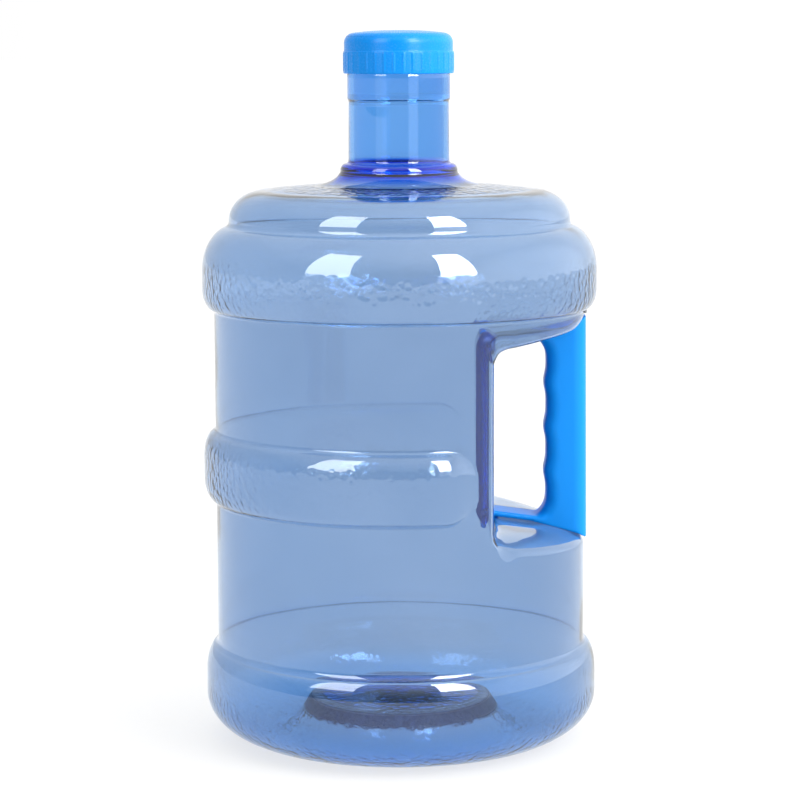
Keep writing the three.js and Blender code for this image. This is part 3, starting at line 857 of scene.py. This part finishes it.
# colours of the clear plastic, part by part; the ramps go with a noise
BODY_TINTS = ((0.35, (0.485, 0.575, 0.72)), (0.65, (0.52, 0.605, 0.745)))
# painted haze: a lighter colour for the upper ring and shoulder, standing in for reflected bright
# surroundings
SHOULDER_PAINTED_HAZE = (0.575, 0.655, 0.79)
NECK_TINT = (0.45, 0.67, 0.88)
BEAD_TINT = (0.015, 0.17, 0.80)
FOOT_TINT = (0.29, 0.54, 0.86)
HUB_TINT = (0.03, 0.34, 0.97)
# painted shade: the dark slate of the push-up's steep wall stands in for the dark reflection there; its
# grain, roughness and bump are the ring's real rough finish
DRUM_PAINTED_DARK = ((0.3, (0.02, 0.05, 0.17)), (0.7, (0.06, 0.12, 0.34)))
DRUM_ROUGHNESS = (0.35, 0.35, 0.35)
SCUFF_ROUGHNESS = ((0.45, (0.015,) * 3), (0.75, (0.045,) * 3))
PET_IOR = 1.56
PET_ABSORPTION, PET_DENSITY = (0.05, 0.62, 0.97, 1.0), 180.0
PEBBLE_SCALE, PEBBLE_SMOOTHNESS = 270.0, 0.6
FOOT_PEBBLES, LAND_PEBBLES = 0.6, 2.5  # strength against that on the upper ring
# strength and depth, in metres, of the bumps
RIPPLE_BUMP, PEBBLE_BUMP, DRUM_BUMP = (0.22, 0.0012), (0.8, 0.0004), (1.0, 0.0012)
SATIN_SPECULAR = 0.18


def clear_plastic():
    """Clear blue blown PET.

    It is greyer in the thin walls and deeper in the neck, the foot and the middle of the base. The rings, the
    foot and the top of the shoulder have a hammered texture. Places are in metres.
    """
    n = Nodes("clear_blue_pet")
    split = n.add("ShaderNodeSeparateXYZ")
    n.link(n.place, split.inputs[0])
    x, y, z = split.outputs
    radius = n.math("SQRT", n.math("ADD", n.math("MULTIPLY", x, x), n.math("MULTIPLY", y, y)))

    low = n.band(z, -0.1, 0.034, 0.002)
    neck = n.band(z, 0.3065, 0.5, 0.004)
    hub = n.math("MULTIPLY", low, n.band(radius, -1.0, 0.0445, 0.004))
    foot = n.band(z, -0.1, 0.016, 0.014)
    drum = n.math("MULTIPLY", n.band(z, 0.0135, 0.0215, 0.0012), n.band(radius, 0.044, 0.054, 0.0008))
    cloud = n.noise(14.0, 3.0)
    tint = n.ramp(cloud, BODY_TINTS)
    # painted haze: the upper ring and shoulder are made lighter in place of reflected light
    tint = n.mix(n.band(z, 0.240, 0.302, 0.004), tint, SHOULDER_PAINTED_HAZE)
    tint = n.mix(neck, tint, NECK_TINT)
    tint = n.mix(n.band(z, 0.3065, 0.3185, 0.002), tint, BEAD_TINT)
    tint = n.mix(foot, tint, FOOT_TINT)
    tint = n.mix(hub, tint, HUB_TINT)
    rough = n.noise(420.0, 4.0)
    # painted shade: the dark colour on the push-up's steep wall, over its real rough grain
    tint = n.mix(drum, tint, n.ramp(rough, DRUM_PAINTED_DARK))
    n.link(tint, n.shader.inputs["Base Color"])

    low_ring = n.math("MULTIPLY", n.band(z, 0.0, 0.031, 0.003), FOOT_PEBBLES)
    rings = n.math("ADD", n.band(z, 0.241, 0.2615, 0.004), low_ring)
    side = n.band(x, -1.0, 0.026, 0.010)
    rings = n.math("ADD", rings, n.math("MULTIPLY", n.band(z, 0.137, 0.165, 0.004), side))
    land = n.math("MULTIPLY", n.band(z, 0.300, 0.3095, 0.001), n.band(radius, 0.046, 0.070, 0.003))
    rings = n.math("ADD", rings, n.math("MULTIPLY", land, LAND_PEBBLES))
    cells = n.add("ShaderNodeTexVoronoi", feature="SMOOTH_F1", in_Scale=PEBBLE_SCALE)
    cells.inputs["Smoothness"].default_value = PEBBLE_SMOOTHNESS
    cells.inputs["Randomness"].default_value = 1.0
    n.link(n.place, cells.inputs["Vector"])
    pebbles = n.math("MULTIPLY", cells.outputs["Distance"], rings)
    ripple = n.noise(24.0, 1.0)
    normal = n.bump(ripple, *RIPPLE_BUMP)
    normal = n.bump(pebbles, *PEBBLE_BUMP, normal)
    normal = n.bump(n.math("MULTIPLY", rough, drum), *DRUM_BUMP, normal)
    n.link(normal, n.shader.inputs["Normal"])

    scuff = n.ramp(n.noise(60.0, 4.0), SCUFF_ROUGHNESS)
    n.link(n.mix(drum, scuff, DRUM_ROUGHNESS), n.shader.inputs["Roughness"])
    n.shader.inputs["Transmission Weight"].default_value = 1.0
    n.shader.inputs["IOR"].default_value = PET_IOR
    volume = n.add("ShaderNodeVolumeAbsorption", in_Density=PET_DENSITY)
    volume.inputs["Color"].default_value = PET_ABSORPTION
    n.link(volume.outputs[0], n.output.inputs["Volume"])
    return n.material


def moulded_blue(name, colour, deep, roughness):
    """Opaque injection-moulded blue plastic with a fine satin texture and faint flow marks."""
    n = Nodes(name)
    flow = n.add("ShaderNodeMapping")
    flow.inputs["Scale"].default_value = (1.0, 1.0, 0.25)
    n.link(n.place, flow.inputs["Vector"])
    marks = n.noise(45.0, 3.0, flow.outputs[0])
    n.link(n.ramp(marks, ((0.3, deep), (0.7, colour))), n.shader.inputs["Base Color"])
    grain = n.noise(900.0, 2.0)
    low, high = roughness
    n.link(n.ramp(grain, ((0.3, (low,) * 3), (0.7, (high,) * 3))), n.shader.inputs["Roughness"])
    n.link(n.bump(grain, 0.12, 0.0002), n.shader.inputs["Normal"])
    n.shader.inputs["Specular IOR Level"].default_value = SATIN_SPECULAR
    return n.material


def seal_foam():
    """Off-white sealing foam with a fine grain."""
    n = Nodes("seal_foam")
    grain = n.noise(700.0, 3.0)
    colour = n.ramp(grain, ((0.3, (0.72, 0.75, 0.78)), (0.7, (0.82, 0.84, 0.86))))
    n.link(colour, n.shader.inputs["Base Color"])
    n.shader.inputs["Roughness"].default_value = 0.65
    n.link(n.bump(grain, 0.3, 0.0003), n.shader.inputs["Normal"])
    return n.material


# ---------------------------------------------------------------- pieces

bottle = make_bottle()
bottle.data.materials.append(clear_plastic())
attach(bottle, "jug")
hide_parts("bottle")

handle = make_handle()
handle_blue = moulded_blue("handle_blue", (0.002, 0.305, 0.93), (0.001, 0.285, 0.89), (0.30, 0.40))
handle.data.materials.append(handle_blue)
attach(handle, "jug")
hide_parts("handle")

cap = make_cap()
cap_blue = moulded_blue("cap_blue", (0.003, 0.31, 0.93), (0.002, 0.285, 0.88), (0.22, 0.30))
cap.data.materials.append(cap_blue)
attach(cap, "cap")
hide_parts("screw_cap")

seal = make_seal()
seal.data.materials.append(seal_foam())
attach(seal, "seal")
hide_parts("cap_seal")

# ---------------------------------------------------------------- floor, light and camera


FLOOR_HALF, FLOOR_DROP = 60.0, 0.0004  # metres; the drop keeps the floor clear of the jug's foot
SOFTBOX_AWAY = 1.07
BOX_HEIGHTS, FOOT_HEIGHTS, KEY_HEIGHTS = (0.46, 1.60), (0.24, 0.46), (0.6, 2.2)
CAMERA_AT, CAMERA_PITCH, CAMERA_ROLL, CAMERA_LENS = (0.0001, -1.478, 0.3824), 90 - 7.55, -0.22, 121.6


def make_floor():
    """A plain pale floor just under the jug."""
    size = FLOOR_HALF
    corners = [(-size, -size, 0), (size, -size, 0), (size, size, 0), (-size, size, 0)]
    mesh = bpy.data.meshes.new("floor")
    mesh.from_pydata(corners, [], [(0, 1, 2, 3)])
    floor = bpy.data.objects.new("floor", mesh)
    bpy.context.scene.collection.objects.link(floor)
    floor.location.z = -FLOOR_DROP
    n = Nodes("pale_floor")
    n.shader.inputs["Base Color"].default_value = (0.3, 0.3, 0.3, 1)
    n.shader.inputs["Roughness"].default_value = 0.9
    n.shader.inputs["Specular IOR Level"].default_value = 0.0
    n.shader.inputs["Emission Color"].default_value = (1, 1, 1, 1)
    n.shader.inputs["Emission Strength"].default_value = 0.72
    mesh.materials.append(n.material)


def add_softbox(name, azimuth, distance, heights, width, power, glossy=True):
    """An upright rectangular lamp that faces the jug from an azimuth, in degrees to the right of the camera.

    A glossy one is seen in reflections and through the plastic; the other kind lights matt surfaces only.
    """
    data = bpy.data.lights.new(name, "AREA")
    data.shape = "RECTANGLE"
    data.size, data.size_y = width, heights[1] - heights[0]
    data.energy = power
    lamp = bpy.data.objects.new(name, data)
    bpy.context.scene.collection.objects.link(lamp)
    angle = math.radians(azimuth)
    way = Vector((math.sin(angle), -math.cos(angle), 0.0))
    lamp.location = way * distance + Vector((0, 0, sum(heights) / 2))
    lamp.rotation_euler = way.to_track_quat("Z", "Y").to_euler()
    lamp.visible_camera = False
    lamp.visible_diffuse = not glossy
    lamp.visible_glossy = glossy
    lamp.visible_transmission = glossy


make_floor()

add_softbox("softbox_left", -40, SOFTBOX_AWAY, BOX_HEIGHTS, 0.50, 13)
add_softbox("softbox_right", 33, SOFTBOX_AWAY, BOX_HEIGHTS, 0.42, 27)
add_softbox("softbox_left_foot", -40, SOFTBOX_AWAY, FOOT_HEIGHTS, 0.50, 0.2)
add_softbox("softbox_right_foot", 33, SOFTBOX_AWAY, FOOT_HEIGHTS, 0.42, 0.3)
add_softbox("key", 55, 1.8, KEY_HEIGHTS, 1.6, 30, glossy=False)

world = bpy.data.worlds.new("studio")
world.use_nodes = True
tree = world.node_tree
background = tree.nodes["Background"]
background.inputs["Color"].default_value = (1, 1, 1, 1)
where = tree.nodes.new("ShaderNodeTexCoord")
split = tree.nodes.new("ShaderNodeSeparateXYZ")
tree.links.new(where.outputs["Generated"], split.inputs[0])


def world_ramp(socket, low, high, dark, bright):
    """A brightness that goes from dark to bright as a direction's component goes from low to high."""
    node = tree.nodes.new("ShaderNodeMapRange")
    node.interpolation_type = "SMOOTHSTEP"
    for name, value in (("From Min", low), ("From Max", high), ("To Min", dark), ("To Max", bright)):
        node.inputs[name].default_value = value
    tree.links.new(split.outputs[socket], node.inputs["Value"])
    return node.outputs[0]


def world_math(operation, a, b):
    """Two brightnesses combined."""
    node = tree.nodes.new("ShaderNodeMath")
    node.operation = operation
    tree.links.new(a, node.inputs[0])
    tree.links.new(b, node.inputs[1])
    return node.outputs[0]


front = world_ramp("Y", -0.75, 0.35, 0.12, 1.0)
light = world_math("MAXIMUM", front, world_ramp("Z", 0.05, 0.9, 0.0, 1.3))
light = world_math("MAXIMUM", light, world_ramp("X", 0.2, 0.95, 0.0, 1.5))
light = world_math("MULTIPLY", light, world_ramp("X", -0.9, 0.9, 0.75, 1.4))
camera_ray = tree.nodes.new("ShaderNodeLightPath").outputs["Is Camera Ray"]
tree.links.new(world_math("MAXIMUM", light, camera_ray), background.inputs["Strength"])
bpy.context.scene.world = world

camera_data = bpy.data.cameras.new("camera")
camera_data.sensor_width = 36.0
camera_data.lens = CAMERA_LENS
camera = bpy.data.objects.new("camera", camera_data)
camera.location = CAMERA_AT
pitch = Matrix.Rotation(math.radians(CAMERA_PITCH), 3, "X")
roll = Matrix.Rotation(math.radians(CAMERA_ROLL), 3, "Z")
camera.rotation_euler = (pitch @ roll).to_euler()
bpy.context.scene.collection.objects.link(camera)
bpy.context.scene.camera = camera

bpy.context.scene.view_settings.view_transform = "Standard"
